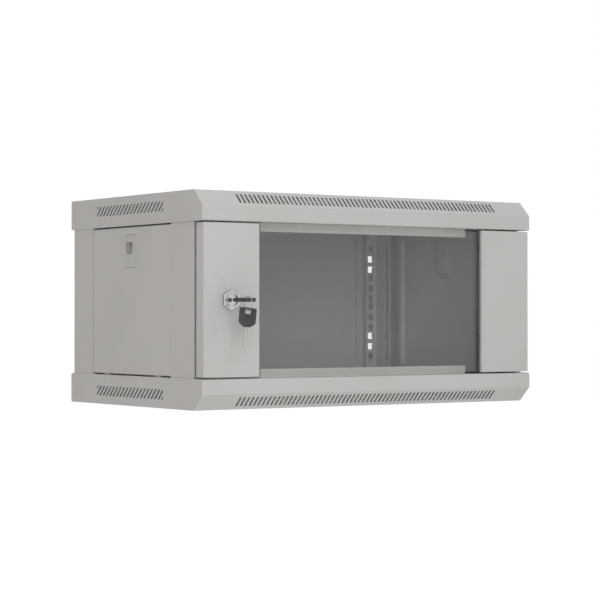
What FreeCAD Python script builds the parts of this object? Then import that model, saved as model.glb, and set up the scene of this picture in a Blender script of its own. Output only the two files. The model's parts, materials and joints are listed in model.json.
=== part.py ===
import FreeCAD, Part
import math
import os

# Wall mount network cabinet, 4 rack units, millimetres.
# Frame: the wall plane is Y = 0 and the front is towards -Y, +Z is up, X = 0 is the middle
# of the width and Z = 0 is the middle of the height.

# ---- Rack standard ----
RACK_UNITS = 4
UNIT = 44.45                      # height of one rack unit
UNIT_HOLES = (6.35, 22.225, 38.1)  # hole heights within a unit
RACK_HOLE_INSET = 7.55            # hole column from the edge of the clear opening
SQUARE_HOLE = 9.5                 # cage nut hole

# ---- Cabinet ----
WIDTH = 540.0                     # leaves a clear opening of 450 for the 19 inch standard
DEPTH = 350.0
SHEET = 1.2                       # sheet of covers, frames, panels and door
BEND = 1.0                        # inside bend radius
OUTER_BEND = BEND + SHEET
COVER_EDGE = 40.0                 # height of a cover's fascia and skirts
COVER_CHAMFER = 20.0              # sloping front edge of a cover
COVER_LIP = 21.0                  # depth of the lip behind the fascia
STOP_STRIP = 11.1                 # strip behind the door, above and below the bay
STOP_STRIP_GAP = 13.3             # end of the strip to the door's stile
CLEAR_HEIGHT = RACK_UNITS * UNIT
HEIGHT = CLEAR_HEIGHT + 2 * (STOP_STRIP + COVER_EDGE)

# ---- Ventilation ----
VENT_SLOT = 3.2                   # width of every vent slot
SLOPE_SLOTS = 64
SLOPE_SLOT_PITCH = 6.65
SLOPE_SLOT_LENGTH = 17.0
SIDE_SLOT_PITCH = 9.3
SIDE_VENT_LENGTH = 179.0
SIDE_VENT_HEIGHT = 13.1
SIDE_VENT_CENTRE_Y = -163.5
SIDE_VENT_ABOVE_PLATE = 17.85     # middle of the vent above the cover's outer face
SIDE_SLOT_LEAN = 45.0
FAN_CENTRE_Y = -185.0
FAN_GRILLE_RADIUS = 54.0
FAN_SLOT_PITCH = 10.0

# ---- Cable entry, closed by a knock-out ----
ENTRY_WIDTH = 260.0
ENTRY_DEPTH = 56.0
ENTRY_CENTRE_Y = -58.0
ENTRY_CUT = 1.5                   # width of the cut round the knock-out
ENTRY_BRIDGE = 6.0                # bridges that hold it

# ---- Side frame ----
FRAME_FRONT_GAP = 23.5            # front edge of the frame behind the cover's front
FRAME_REAR_GAP = 5.0              # rear flange in front of the wall plane
FRAME_FLANGE = 47.8               # width of the top, bottom and rear flanges
VENT_WINDOW_MARGIN = 2.0          # window of the frame past the slots of a skirt, all round
KEEPER_DEPTH = 4.5                # keeper strip behind the frame's front edge
KEEPER_WIDTH = 12.4
OPENING_FRONT = 79.0              # side opening, from the cover's front
OPENING_LENGTH = 210.0
OPENING_LIP = 11.0                # depth of the lip round the side opening
OPENING_LEDGE = 7.0               # width of the ledge that the panel closes on
KEYHOLE_FROM_SIDE = 26.5
KEYHOLE_SPACING = 118.2
KEYHOLE_ROUND = 14.0
KEYHOLE_SLOT = 8.0
KEYHOLE_LENGTH = 32.0

# ---- Side panel and its latch ----
PANEL_SIDE_GAP = 0.7
PANEL_END_GAP = 2.0
PANEL_REST_GAP = 0.3              # panel's return off the frame's ledge
PANEL_CORNER_RELIEF = 3.0
TAB_WIDTH = 15.0
TAB_DROP = 8.0
TAB_SETBACK = 0.4                 # tab behind the inside of the frame sheet
TAB_SPACING = 136.0
TAB_PLAY = 1.5
LATCH_FRONT = 171.8               # front edge of the latch from the cover's front
LATCH_WIDTH = 28.2
LATCH_DEPTH = 10.0                # housing behind the panel sheet
LATCH_WALL = 1.2
LATCH_FACE_BOTTOM = 44.0
LATCH_FACE_TOP = 88.0
LATCH_BOTTOM = 36.0
LATCH_TOP = 92.0
LATCH_SLOPE = 9.0
LATCH_WINDOW_GAP = 0.3
FINGER_HOLE_REAR_RIM = 3.0
FINGER_HOLE_WIDTH = 17.4
FINGER_HOLE_BOTTOM = 62.4
FINGER_HOLE_HEIGHT = 15.6
SLIDE_CLEARANCE = 0.3
SLIDE_BOTTOM = 54.0
SLIDE_HEIGHT = 26.0
BOLT_WIDTH = 14.0
BOLT_THICK = 3.0
BOLT_PLAY = 0.6
BOLT_SETBACK = 0.6                # released bolt below the panel's top edge
LATCH_FLOOR = 46.0

# ---- Depth channels and rack rails ----
RAIL_SHEET = 1.5
RAIL_DEPTH = 35.0                 # depth of a rail's web
RAIL_FLANGE = 20.0
RAIL_SIDE_ROOM = 25.0             # outer face of a rail to the cabinet's side
RAIL_END_GAP = 6.0                # rail end to the inside of the cover plate
RAIL_SIDE_HOLE = 27.0             # second hole column from the rail's front face
REAR_RAIL_FACE = 22.0             # face of the rear rails in front of the wall plane
FRONT_RAIL_FACE = 45.0            # face of the front rails behind the cover's front
RAIL_BOLT_FROM_FACE = 18.0
CHANNEL_SHEET = 1.5
CHANNEL_HEIGHT = 26.0
CHANNEL_END_GAP = 2.0
CHANNEL_SLOT = 6.6
CHANNEL_SLOT_LENGTH = 110.0

# ---- Back panel ----
BACK_RIM = 8.0                    # rim of the back panel on the frame's rear flange
BACK_FIELD_INSET = 3.0            # raised field inside the opening between the flanges
BACK_RIM_HEIGHT = 11.0
BACK_CORNER = 5.0

# ---- Door ----
DOOR_SIDE_GAP = 2.0
DOOR_END_GAP = 2.0
DOOR_DEPTH = 19.0
STILE_WIDTH = 84.7
STILE_RETURN = 6.5                # return at the inner edge of a stile
STILE_LANDING = 27.0              # strip behind the return that carries the glass
STILE_HEM = 9.0
GLASS_THICK = 4.0
GLASS_OVERLAP = 12.0
GLASS_END_GAP = 1.0
GASKET_THICK = 0.8
GASKET_WIDTH = 9.0
RETAINER_LIP = 8.0
RETAINER_FOOT = 10.0
RETAINER_GAP = 0.5
RETAINER_TABS = 3                 # tabs of a retainer, bent through slots of the landing
RETAINER_TAB_WIDTH = 10.0
RETAINER_TAB_REACH = 3.0

# ---- Hinge ----
HINGE_FROM_SIDE = 14.5
HINGE_FROM_FRONT = 10.5
PIN_DIAMETER = 5.0
PIN_RUNNING_FIT = 0.1             # radial, pin in the hole of a cover lip
PIN_FIT = 0.05                    # radial, pin in the door
PIN_ENTRY = 4.8                   # pin past the lip
PIN_HEAD = 8.0                    # across the square head of the lower pin
PIN_HEAD_HEIGHT = 2.0
WASHER_RADIUS = 5.2
WASHER_GAP = 0.3
BRACKET_DROP = 18.0               # guide plate of the sprung pin below the door's top
BRACKET_WIDTH = 20.0
SHOULDER_SIZE = 8.0               # square shoulder that the spring pushes on
SHOULDER_THICK = 1.5
LEVER_LENGTH = 20.0
LEVER_DROP = 9.0

# ---- Lock ----
LOCK_FROM_SIDE = 42.5
LOCK_HEX = 24.0                   # across flats, corners up and down
LOCK_BEZEL = 4.5
LOCK_BARREL_RADIUS = 9.5
LOCK_BARREL_LENGTH = 28.0
LOCK_FLATS = 16.0
LOCK_HOLE_GAP = 0.2
PLUG_SETBACK = 0.4                # face of the plug below the bezel
PLUG_RADIUS = 7.2
PLUG_FIT = 0.05
CLIP_THICK = 1.2                  # spring clip that holds the lock case
CLIP_SIZE = 26.0
KEYWAY_WIDTH = 7.6
KEYWAY_THICK = 2.0
KEYWAY_DEPTH = 13.5
CAM_THICK = 2.0
CAM_LENGTH = 36.0
CAM_SQUARE = 7.0
CAM_SCREW = 10.0                  # across flats
CAM_SCREW_HEAD = 3.0
CAM_KEEPER_GAP = 0.5              # cam behind the keeper strip

# ---- Keys ----
BOW_FROM_FACE = 18.0
BOW_WIDTH = 22.6
BOW_LENGTH = 24.0
BOW_SHOULDER = 5.0                # height of the bow's tapering end
BOW_THICK = 5.0
BOW_HOLE_WIDTH = 10.0
BOW_HOLE_HEIGHT = 5.6
BOW_HOLE_FROM_END = 5.0
BLADE_LENGTH = 25.0
BLADE_WIDTH = 7.0
BLADE_THICK = 1.6
RING_RADIUS = 9.15                # to the middle of the wire
RING_WIRE = 1.2
RING_PLAY = 0.85                  # under the top of the hung key's hole
RING_OFFSET = 2.5                 # ring off the middle of the bow's hole
RING_SETBACK = 0.6                # the same, towards the door
RING_HANG = 30.0                  # slope of the wire where it passes the bow, degrees
HUNG_KEY_LEAN = 6.0

# ---- Rail bolts, with square necks ----
M6 = 6.0
M6_HEX = 10.0
M6_HEAD_HEIGHT = 3.0
M6_NUT_HEIGHT = 5.0
NECK_PLAY = 0.5                   # added to the bolt's size for the square hole

# ---- Springs ----
SPRING_WIRE = 0.8
SPRING_SIDES = 6                  # straight runs in a turn of wire

# ---- Planes worked out from the sizes above ----
SIDE = WIDTH / 2
FRAME_X = SIDE - SHEET            # outer face of a side frame, inside the skirt
FRAME_IN = FRAME_X - SHEET        # inner face of its sheet
TOP = HEIGHT / 2
PLATE_IN = TOP - SHEET            # inner face of a cover plate
EDGE = TOP - COVER_EDGE           # free edge of fascia and skirts
FRONT = -DEPTH
FRAME_FRONT = FRONT + FRAME_FRONT_GAP
FRAME_REAR = -FRAME_REAR_GAP
FLANGE_X = FRAME_X - FRAME_FLANGE
OPEN_Y0 = FRONT + OPENING_FRONT
OPEN_Y1 = OPEN_Y0 + OPENING_LENGTH
LEDGE_X = FRAME_X - OPENING_LIP
RAIL_X = SIDE - RAIL_SIDE_ROOM
RACK_EDGE = RAIL_X - RAIL_FLANGE  # half the clear opening between the rails
RACK_HOLE_X = RACK_EDGE + RACK_HOLE_INSET
RAIL_TOP = PLATE_IN - RAIL_END_GAP + SHEET
CHANNEL_TOP = RAIL_TOP
CHANNEL_Z = CHANNEL_TOP - CHANNEL_HEIGHT / 2
KEYHOLE_X = SIDE - KEYHOLE_FROM_SIDE
BACK_X = FLANGE_X - BACK_FIELD_INSET + SHEET
DOOR_X = SIDE - DOOR_SIDE_GAP
DOOR_Z = EDGE - DOOR_END_GAP
STILE_IN = DOOR_X - STILE_WIDTH
STRIP_X = STILE_IN - STOP_STRIP_GAP
LANDING_Y = FRONT + STILE_RETURN
GLASS_Y = LANDING_Y + GASKET_THICK
GLASS_X = STILE_IN + GLASS_OVERLAP
HINGE_X = SIDE - HINGE_FROM_SIDE
HINGE_Y = FRONT + HINGE_FROM_FRONT
LOCK_X = LOCK_FROM_SIDE - SIDE
KEEPER_Y = FRAME_FRONT + KEEPER_DEPTH
CAM_Y = KEEPER_Y + SHEET + CAM_KEEPER_GAP
LATCH_Y0 = FRONT + LATCH_FRONT
LATCH_Y1 = LATCH_Y0 + LATCH_WIDTH
LATCH_Y = (LATCH_Y0 + LATCH_Y1) / 2
LATCH_IN = FRAME_IN - LATCH_DEPTH
PANEL_Z = EDGE - PANEL_END_GAP
SLIDE_X0 = LATCH_IN + LATCH_WALL + SLIDE_CLEARANCE
SLIDE_X1 = FRAME_IN - LATCH_WALL - SLIDE_CLEARANCE
BOLT_X = (SLIDE_X0 + SLIDE_X1) / 2

ORIGIN = FreeCAD.Vector(0, 0, 0)
AXIS_X = FreeCAD.Vector(1, 0, 0)
AXIS_Y = FreeCAD.Vector(0, 1, 0)
AXIS_Z = FreeCAD.Vector(0, 0, 1)

parts = {}


# ---------------------------------------------------------------- shared shapes

def point(x, y, z):
    return FreeCAD.Vector(x, y, z)


def block(x0, x1, y0, y1, z0, z1):
    return Part.makeBox(x1 - x0, y1 - y0, z1 - z0, point(x0, y0, z0))


def cylinder(radius, start, end):
    """Round bar from one point to another."""
    run = end.sub(start)
    return Part.makeCylinder(radius, run.Length, start, run)


def on_yz(x):
    return lambda u, v: point(x, u, v)


def on_xy(z):
    return lambda u, v: point(u, v, z)


def on_xz(y):
    return lambda u, v: point(u, y, v)


def heading(a, b):
    length = math.hypot(b[0] - a[0], b[1] - a[1])
    return ((b[0] - a[0]) / length, (b[1] - a[1]) / length)


def line_or_nothing(a, b, place):
    if math.hypot(b[0] - a[0], b[1] - a[1]) < 1e-6:
        return []
    return [Part.makeLine(place(*a), place(*b))]


def arc_edge(centre, corner, radius, a, b, place):
    """Arc from a to b about a centre, bulging towards the corner."""
    out = heading(centre, corner)
    middle = (centre[0] + out[0] * radius, centre[1] + out[1] * radius)
    return Part.Arc(place(*a), place(*middle), place(*b)).toShape()


def turn_between(d0, d1):
    return math.atan2(d0[0] * d1[1] - d0[1] * d1[0], d0[0] * d1[0] + d0[1] * d1[1])


def rounded_face(points, radius, place):
    """Face inside a closed outline whose corners all have one radius."""
    count = len(points)
    corners = []
    for i in range(count):
        corner = points[i]
        d0 = heading(points[i - 1], corner)
        d1 = heading(corner, points[(i + 1) % count])
        turn = turn_between(d0, d1)
        cut = radius * math.tan(abs(turn) / 2)
        a = (corner[0] - d0[0] * cut, corner[1] - d0[1] * cut)
        b = (corner[0] + d1[0] * cut, corner[1] + d1[1] * cut)
        sign = math.copysign(radius, turn)
        centre = (a[0] - d0[1] * sign, a[1] + d0[0] * sign)
        corners.append((a, b, centre, corner))
    edges = []
    for i in range(count):
        a, b, centre, corner = corners[i]
        if radius > 0:
            edges.append(arc_edge(centre, corner, radius, a, b, place))
        edges += line_or_nothing(b, corners[(i + 1) % count][0], place)
    return Part.Face(Part.Wire(edges))


def rectangle(u0, u1, v0, v1):
    return [(u0, v0), (u1, v0), (u1, v1), (u0, v1)]


def rounded_block(x0, x1, y0, y1, z0, z1, radius, along):
    """Block whose four edges along one axis are rounded."""
    if along == "X":
        face = rounded_face(rectangle(y0, y1, z0, z1), radius, on_yz(x0))
        return face.extrude(point(x1 - x0, 0, 0))
    if along == "Y":
        face = rounded_face(rectangle(x0, x1, z0, z1), radius, on_xz(y0))
        return face.extrude(point(0, y1 - y0, 0))
    face = rounded_face(rectangle(x0, x1, y0, y1), radius, on_xy(z0))
    return face.extrude(point(0, 0, z1 - z0))


def folded_section(points, thick, side, place):
    """Section of a folded sheet. The points run along its outer face, corner to corner, and
    the material lies to the left of the run for side +1 and to the right for side -1."""
    dirs = [heading(points[i], points[i + 1]) for i in range(len(points) - 1)]

    def inward(p, d, amount):
        return (p[0] - d[1] * side * amount, p[1] + d[0] * side * amount)

    near = []
    far = []
    near_at = points[0]
    far_at = inward(points[0], dirs[0], thick)
    first_far = far_at
    for i in range(1, len(points) - 1):
        d0 = dirs[i - 1]
        d1 = dirs[i]
        turn = turn_between(d0, d1)
        closing = turn * side > 0
        near_radius = BEND + thick if closing else BEND
        far_radius = BEND if closing else BEND + thick
        cut = near_radius * math.tan(abs(turn) / 2)
        a = (points[i][0] - d0[0] * cut, points[i][1] - d0[1] * cut)
        b = (points[i][0] + d1[0] * cut, points[i][1] + d1[1] * cut)
        centre = inward(a, d0, near_radius if closing else -near_radius)
        far_a = inward(a, d0, thick)
        far_b = inward(b, d1, thick)
        near += line_or_nothing(near_at, a, place)
        near.append(arc_edge(centre, points[i], near_radius, a, b, place))
        far += line_or_nothing(far_at, far_a, place)
        far.append(arc_edge(centre, points[i], far_radius, far_a, far_b, place))
        near_at = b
        far_at = far_b
    last_far = inward(points[-1], dirs[-1], thick)
    near += line_or_nothing(near_at, points[-1], place)
    far += line_or_nothing(far_at, last_far, place)
    end = line_or_nothing(points[-1], last_far, place)
    start = line_or_nothing(first_far, points[0], place)
    return Part.Face(Part.Wire(near + end + far[::-1] + start))


def cut_corners(points, size):
    """Closed outline with each corner cut off, so that it stays inside a bend."""
    outline = []
    for i in range(len(points)):
        x, y = points[i]
        d0 = heading(points[i - 1], points[i])
        d1 = heading(points[i], points[(i + 1) % len(points)])
        outline += [(x - d0[0] * size, y - d0[1] * size), (x + d1[0] * size, y + d1[1] * size)]
    return outline


def sharp_section(points, thick, side, place):
    """Section of a folded sheet with its bends drawn sharp, for small and hidden folds."""
    count = len(points)
    dirs = [heading(points[i], points[i + 1]) for i in range(count - 1)]
    far = []
    for i in range(count):
        d0 = dirs[max(i - 1, 0)]
        d1 = dirs[min(i, count - 2)]
        reach = side * thick / (1 + d0[0] * d1[0] + d0[1] * d1[1])
        far.append((points[i][0] - (d0[1] + d1[1]) * reach, points[i][1] + (d0[0] + d1[0]) * reach))
    return rounded_face(points + far[::-1], 0, place)


def one_solid(shape):
    """The single solid of a joined shape, with coplanar faces merged."""
    merged = shape.removeSplitter()
    if len(merged.Solids) != 1:
        raise ValueError("expected one solid, found %d" % len(merged.Solids))
    return merged.Solids[0]


def join(first, *others):
    return one_solid(first.fuse(list(others)))


def cut(shape, tools):
    return one_solid(shape.cut(Part.makeCompound(tools)))


def mirrored(shape):
    return shape.mirror(ORIGIN, AXIS_X)


def turned_over(shape):
    """The same piece on the opposite cover: half a turn about the front-to-back axis."""
    copy = shape.copy()
    copy.rotate(ORIGIN, AXIS_Y, 180)
    return copy


def placed(shape, origin, direction):
    """A shape built about the origin along +Z, stood at a point along a direction."""
    copy = shape.copy()
    turn = FreeCAD.Rotation(AXIS_Z, direction)
    copy.Placement = FreeCAD.Placement(origin, turn)
    return copy


def spring(radius, wire, bottom, top, turns, x, y):
    """Compression spring along Z, its square wire bent in short straight runs."""
    steps = turns * SPRING_SIDES
    half = wire / 2
    rings = []
    for i in range(steps + 1):
        angle = 2 * math.pi * i / SPRING_SIDES
        z = bottom + half + (top - bottom - wire) * i / steps
        ring = [(radius - half, -half), (radius + half, -half),
                (radius + half, half), (radius - half, half)]
        rings.append([point(x + u * math.cos(angle), y + u * math.sin(angle), z + v)
                      for u, v in ring])
    faces = [flat_face(rings[0]), flat_face(rings[-1])]
    for low, high in zip(rings, rings[1:]):
        for j in range(4):
            k = (j + 1) % 4
            faces.append(flat_face([low[j], low[k], high[k]]))
            faces.append(flat_face([low[j], high[k], high[j]]))
    shell = Part.makeShell(faces)
    shell.sewShape()
    return outward(Part.Solid(shell))


def flat_face(points):
    return Part.Face(Part.makePolygon(points + points[:1]))


def outward(solid):
    """The solid with its faces turned outwards."""
    if solid.Volume < 0:
        solid.reverse()
    return solid


def hexagon(across_flats, height, corners_on_y=False):
    """Hexagonal prism along +Z from z = 0."""
    radius = across_flats / math.sqrt(3)
    start = 30 if corners_on_y else 0
    ring = []
    for i in range(7):
        angle = math.radians(start + 60 * i)
        ring.append(point(radius * math.cos(angle), radius * math.sin(angle), 0))
    return Part.Face(Part.makePolygon(ring)).extrude(point(0, 0, height))


# ---------------------------------------------------------------- covers

def cover_shell():
    """Bottom cover without its openings: plate, slope, fascia, lip, stop strip and skirts."""
    lip_y = FRONT + COVER_LIP
    outline = [(0, -EDGE), (0, -TOP), (FRONT + COVER_CHAMFER, -TOP),
               (FRONT, -TOP + COVER_CHAMFER), (FRONT, -EDGE), (lip_y, -EDGE)]
    strip = outline + [(lip_y, -EDGE + STOP_STRIP)]
    half = STRIP_X
    middle = folded_section(strip, SHEET, -1, on_yz(-half)).extrude(point(2 * half, 0, 0))
    flank = FRAME_X - half
    right = folded_section(outline, SHEET, -1, on_yz(half)).extrude(point(flank, 0, 0))
    left = folded_section(outline, SHEET, -1, on_yz(-FRAME_X)).extrude(point(flank, 0, 0))
    skirt = outline[:-1]
    skirt_face = rounded_face(skirt, OUTER_BEND, on_yz(FRAME_X))
    right_skirt = skirt_face.extrude(point(SHEET, 0, 0))
    return join(middle, left, right, right_skirt, mirrored(right_skirt))


def slope_slots():
    """Row of slots that run up the sloping front edge of the bottom cover."""
    reach = SHEET * 3
    slot = Part.makeBox(VENT_SLOT, SLOPE_SLOT_LENGTH, 2 * reach,
                        point(-VENT_SLOT / 2, -SLOPE_SLOT_LENGTH / 2, -reach))
    slot.rotate(ORIGIN, AXIS_X, -45)
    y = FRONT + COVER_CHAMFER / 2
    z = -TOP + COVER_CHAMFER / 2
    slots = []
    for i in range(SLOPE_SLOTS):
        copy = slot.copy()
        copy.translate(point((i - (SLOPE_SLOTS - 1) / 2) * SLOPE_SLOT_PITCH, y, z))
        slots.append(copy)
    return slots


def side_slots(x, lean):
    """Leaning slots of one skirt, cut off at the edges of the vent's window."""
    z = -TOP + SIDE_VENT_ABOVE_PLATE
    reach = SHEET * 2
    half = SIDE_VENT_LENGTH / 2
    window = block(x - reach, x + reach, SIDE_VENT_CENTRE_Y - half, SIDE_VENT_CENTRE_Y + half,
                   z - SIDE_VENT_HEIGHT / 2, z + SIDE_VENT_HEIGHT / 2)
    bar = Part.makeBox(2 * reach, VENT_SLOT, SIDE_VENT_HEIGHT * 3,
                       point(-reach, -VENT_SLOT / 2, -SIDE_VENT_HEIGHT * 1.5))
    bar.rotate(ORIGIN, AXIS_X, lean)
    count = int(half / SIDE_SLOT_PITCH) + 1
    bars = []
    for i in range(-count, count + 1):
        copy = bar.copy()
        copy.translate(point(x, SIDE_VENT_CENTRE_Y + i * SIDE_SLOT_PITCH, z))
        bars.append(copy)
    return window.common(Part.makeCompound(bars)).Solids


def fan_grille():
    """Round field of slots above the place of a fan."""
    tools = []
    rows = int(FAN_GRILLE_RADIUS / FAN_SLOT_PITCH)
    for i in range(-rows, rows + 1):
        y = i * FAN_SLOT_PITCH
        half = math.sqrt(FAN_GRILLE_RADIUS ** 2 - y ** 2)
        y += FAN_CENTRE_Y
        tools.append(block(-half, half, y - VENT_SLOT / 2, y + VENT_SLOT / 2, -TOP - 1, 1 - PLATE_IN))
    return tools


def knock_out_cuts():
    """Cut round the cable entry, broken by four bridges."""
    half_x = ENTRY_WIDTH / 2
    half_y = ENTRY_DEPTH / 2
    wide = ENTRY_CUT
    z0 = -TOP - 1
    z1 = 1 - PLATE_IN
    y = ENTRY_CENTRE_Y
    outer = block(-half_x, half_x, y - half_y, y + half_y, z0, z1)
    inner = block(wide - half_x, half_x - wide, y - half_y + wide, y + half_y - wide, z0, z1)
    bridge = ENTRY_BRIDGE / 2
    across = block(-half_x, half_x, y - bridge, y + bridge, z0, z1)
    along = block(-bridge, bridge, y - half_y, y + half_y, z0, z1)
    return outer.cut(inner).cut(across).cut(along).Solids


def bottom_cover():
    tools = slope_slots() + side_slots(-SIDE, SIDE_SLOT_LEAN) + side_slots(SIDE, -SIDE_SLOT_LEAN)
    tools += fan_grille()
    tools += knock_out_cuts()
    return cut(cover_shell(), tools)


def with_hinge_hole(cover):
    """A cover with the hole for the hinge pin in its lip."""
    radius = PIN_DIAMETER / 2 + PIN_RUNNING_FIT
    low = point(HINGE_X, HINGE_Y, -EDGE - 3 * SHEET)
    high = point(HINGE_X, HINGE_Y, EDGE + 3 * SHEET)
    return cut(cover, [cylinder(radius, low, high)])


# ---------------------------------------------------------------- side frames

def right_side_frame():
    """Frame of the right side: sheet, flanges, and the lip round its opening."""
    section = [(FLANGE_X, FRAME_REAR), (FRAME_X, FRAME_REAR), (FRAME_X, FRAME_FRONT)]
    height = point(0, 0, 2 * PLATE_IN)
    sheet = folded_section(section, SHEET, -1, on_xy(-PLATE_IN)).extrude(height)
    outline = cut_corners(rectangle(FLANGE_X, FRAME_X, FRAME_FRONT, FRAME_REAR), OUTER_BEND)
    flange = rounded_face(outline, 0, on_xy(PLATE_IN - SHEET)).extrude(point(0, 0, SHEET))
    lower = flange.copy()
    lower.translate(point(0, 0, SHEET - 2 * PLATE_IN))
    frame = join(sheet, flange, lower)
    opening = block(LEDGE_X - 2, SIDE, OPEN_Y0, OPEN_Y1, -EDGE, EDGE)
    frame = join(frame.cut(opening), opening_lip())
    return cut(frame, frame_cuts())


def right_keeper_strip():
    """Angle welded behind the frame's front edge, between its flanges. The cam of the lock
    closes behind the left one."""
    hem_x = FRAME_IN - SHEET
    hem = [(hem_x, FRAME_FRONT), (hem_x, KEEPER_Y), (hem_x - KEEPER_WIDTH, KEEPER_Y)]
    half = PLATE_IN - SHEET
    return folded_section(hem, SHEET, -1, on_xy(-half)).extrude(point(0, 0, 2 * half))


def opening_lip():
    """Lip that runs inwards round the side opening and ends in a ledge."""
    tube = block(LEDGE_X - SHEET, FRAME_IN, OPEN_Y0 - SHEET, OPEN_Y1 + SHEET,
                 -EDGE - SHEET, EDGE + SHEET)
    ledge = OPENING_LEDGE
    through = block(LEDGE_X - 2 * SHEET, FRAME_IN + 1, OPEN_Y0 + ledge, OPEN_Y1 - ledge,
                    -EDGE + ledge, EDGE - ledge)
    inside = block(LEDGE_X, FRAME_IN + 1, OPEN_Y0, OPEN_Y1, -EDGE, EDGE)
    return tube.cut(through).cut(inside)


def frame_cuts():
    """Keyholes, tab slots, the latch bolt's slot and the vent windows of the right frame."""
    tools = []
    y0 = FRAME_REAR - 3 * SHEET
    y1 = FRAME_REAR + 1
    for sz in (-1, 1):
        z = sz * KEYHOLE_SPACING / 2
        tools.append(rounded_block(KEYHOLE_X - KEYHOLE_SLOT / 2, KEYHOLE_X + KEYHOLE_SLOT / 2, y0, y1,
                                   z - KEYHOLE_LENGTH / 2, z + KEYHOLE_LENGTH / 2,
                                   KEYHOLE_SLOT / 2 - 0.0005, "Y"))
        tools.append(cylinder(KEYHOLE_ROUND / 2, point(KEYHOLE_X, y0, z), point(KEYHOLE_X, y1, z)))
    for y in tab_places():
        half = TAB_WIDTH / 2 + TAB_PLAY
        tools.append(block(FRAME_IN - 5 * SHEET, FRAME_IN, y - half, y + half,
                           -EDGE - 2 * SHEET, -EDGE + 1))
    tools.append(bolt_slot(EDGE, EDGE + 2 * SHEET))
    half_y = SIDE_VENT_LENGTH / 2 + VENT_WINDOW_MARGIN
    half_z = SIDE_VENT_HEIGHT / 2 + VENT_WINDOW_MARGIN
    for z in (SIDE_VENT_ABOVE_PLATE - TOP, TOP - SIDE_VENT_ABOVE_PLATE):
        tools.append(block(FRAME_IN - 1, SIDE, SIDE_VENT_CENTRE_Y - half_y, SIDE_VENT_CENTRE_Y + half_y,
                           z - half_z, z + half_z))
    return tools


def bolt_slot(z0, z1):
    half = BOLT_WIDTH / 2 + BOLT_PLAY
    reach = BOLT_THICK / 2 + BOLT_PLAY
    return block(BOLT_X - reach, BOLT_X + reach, LATCH_Y - half, LATCH_Y + half, z0 - 1, z1)


def tab_places():
    middle = (OPEN_Y0 + OPEN_Y1) / 2
    return [middle - TAB_SPACING / 2, middle + TAB_SPACING / 2]


# ---------------------------------------------------------------- back panel


def cut_corner_block(half_x, y0, y1, half_z):
    """Plate about the Y axis with its corners cut off."""
    outline = cut_corners(rectangle(-half_x, half_x, -half_z, half_z), BACK_CORNER)
    return rounded_face(outline, 0, on_xz(y0)).extrude(point(0, y1 - y0, 0))


def back_panel():
    """Pressed panel: a rim on the frames' rear flanges and a field in the wall plane."""
    rim_x = FLANGE_X + BACK_RIM
    field_z = EDGE - BACK_FIELD_INSET
    rim_z = field_z + BACK_RIM_HEIGHT
    rim = cut_corner_block(rim_x, FRAME_REAR, FRAME_REAR + SHEET, rim_z)
    raised = cut_corner_block(BACK_X, FRAME_REAR, 0, field_z)
    hollow = cut_corner_block(BACK_X - SHEET, FRAME_REAR - 1, -SHEET, field_z - SHEET)
    panel = join(rim, raised)
    return one_solid(panel.cut(hollow))


# ---------------------------------------------------------------- channels and rails

def channel_reach():
    return FRAME_FRONT + KEEPER_DEPTH + SHEET + CHANNEL_END_GAP, FRAME_REAR - SHEET - CHANNEL_END_GAP


def upper_right_channel():
    """Depth channel welded inside the frame's sheet, slotted so that the rails slide."""
    y0, y1 = channel_reach()
    z0 = CHANNEL_TOP - CHANNEL_HEIGHT
    section = [(FRAME_IN, z0), (RAIL_X, z0), (RAIL_X, CHANNEL_TOP), (FRAME_IN, CHANNEL_TOP)]
    body = sharp_section(section, CHANNEL_SHEET, -1, on_xz(y0)).extrude(point(0, y1 - y0, 0))
    tools = []
    for centre in (front_rail_bolt_y(), rear_rail_bolt_y()):
        ya = max(centre - CHANNEL_SLOT_LENGTH / 2, y0 + CHANNEL_END_GAP * 4)
        yb = min(centre + CHANNEL_SLOT_LENGTH / 2, y1 - CHANNEL_END_GAP * 4)
        tools.append(block(RAIL_X - 1, RAIL_X + 2 * CHANNEL_SHEET, ya, yb,
                           CHANNEL_Z - CHANNEL_SLOT / 2, CHANNEL_Z + CHANNEL_SLOT / 2))
    return cut(body, tools)


def front_rail_bolt_y():
    return FRONT + FRONT_RAIL_FACE + RAIL_BOLT_FROM_FACE


def rear_rail_bolt_y():
    return -REAR_RAIL_FACE - RAIL_BOLT_FROM_FACE


def rack_hole_heights():
    heights = []
    for unit in range(RACK_UNITS):
        for hole in UNIT_HOLES:
            heights.append(-CLEAR_HEIGHT / 2 + unit * UNIT + hole)
    return heights


def right_rail(face_y, back):
    """Angle rail with a column of square holes. Its web runs back from the face for back = 1,
    and forward for back = -1, as a rear rail's does, which has holes in the web too."""
    corner_y = face_y if back > 0 else face_y + RAIL_SHEET
    web_end = face_y + back * RAIL_DEPTH
    section = [(RACK_EDGE, corner_y), (RAIL_X, corner_y), (RAIL_X, web_end)]
    height = point(0, 0, 2 * RAIL_TOP)
    rail = folded_section(section, RAIL_SHEET, back, on_xy(-RAIL_TOP)).extrude(height)
    half = SQUARE_HOLE / 2
    hole_x = RACK_HOLE_X
    web_y = face_y + back * RAIL_SIDE_HOLE
    tools = []
    for z in rack_hole_heights():
        tools.append(block(hole_x - half, hole_x + half, face_y - 2 * RAIL_SHEET,
                           face_y + 2 * RAIL_SHEET, z - half, z + half))
        if back < 0:
            tools.append(block(RAIL_X - 2 * RAIL_SHEET, RAIL_X + 1, web_y - half, web_y + half,
                               z - half, z + half))
    bolt_y = face_y + back * RAIL_BOLT_FROM_FACE
    neck = (M6 + NECK_PLAY) / 2
    for z in (-CHANNEL_Z, CHANNEL_Z):
        tools.append(block(RAIL_X - 2 * RAIL_SHEET, RAIL_X + 1, bolt_y - neck, bolt_y + neck,
                           z - neck, z + neck))
    return cut(rail, tools)


# ---------------------------------------------------------------- side panels and latches

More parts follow.
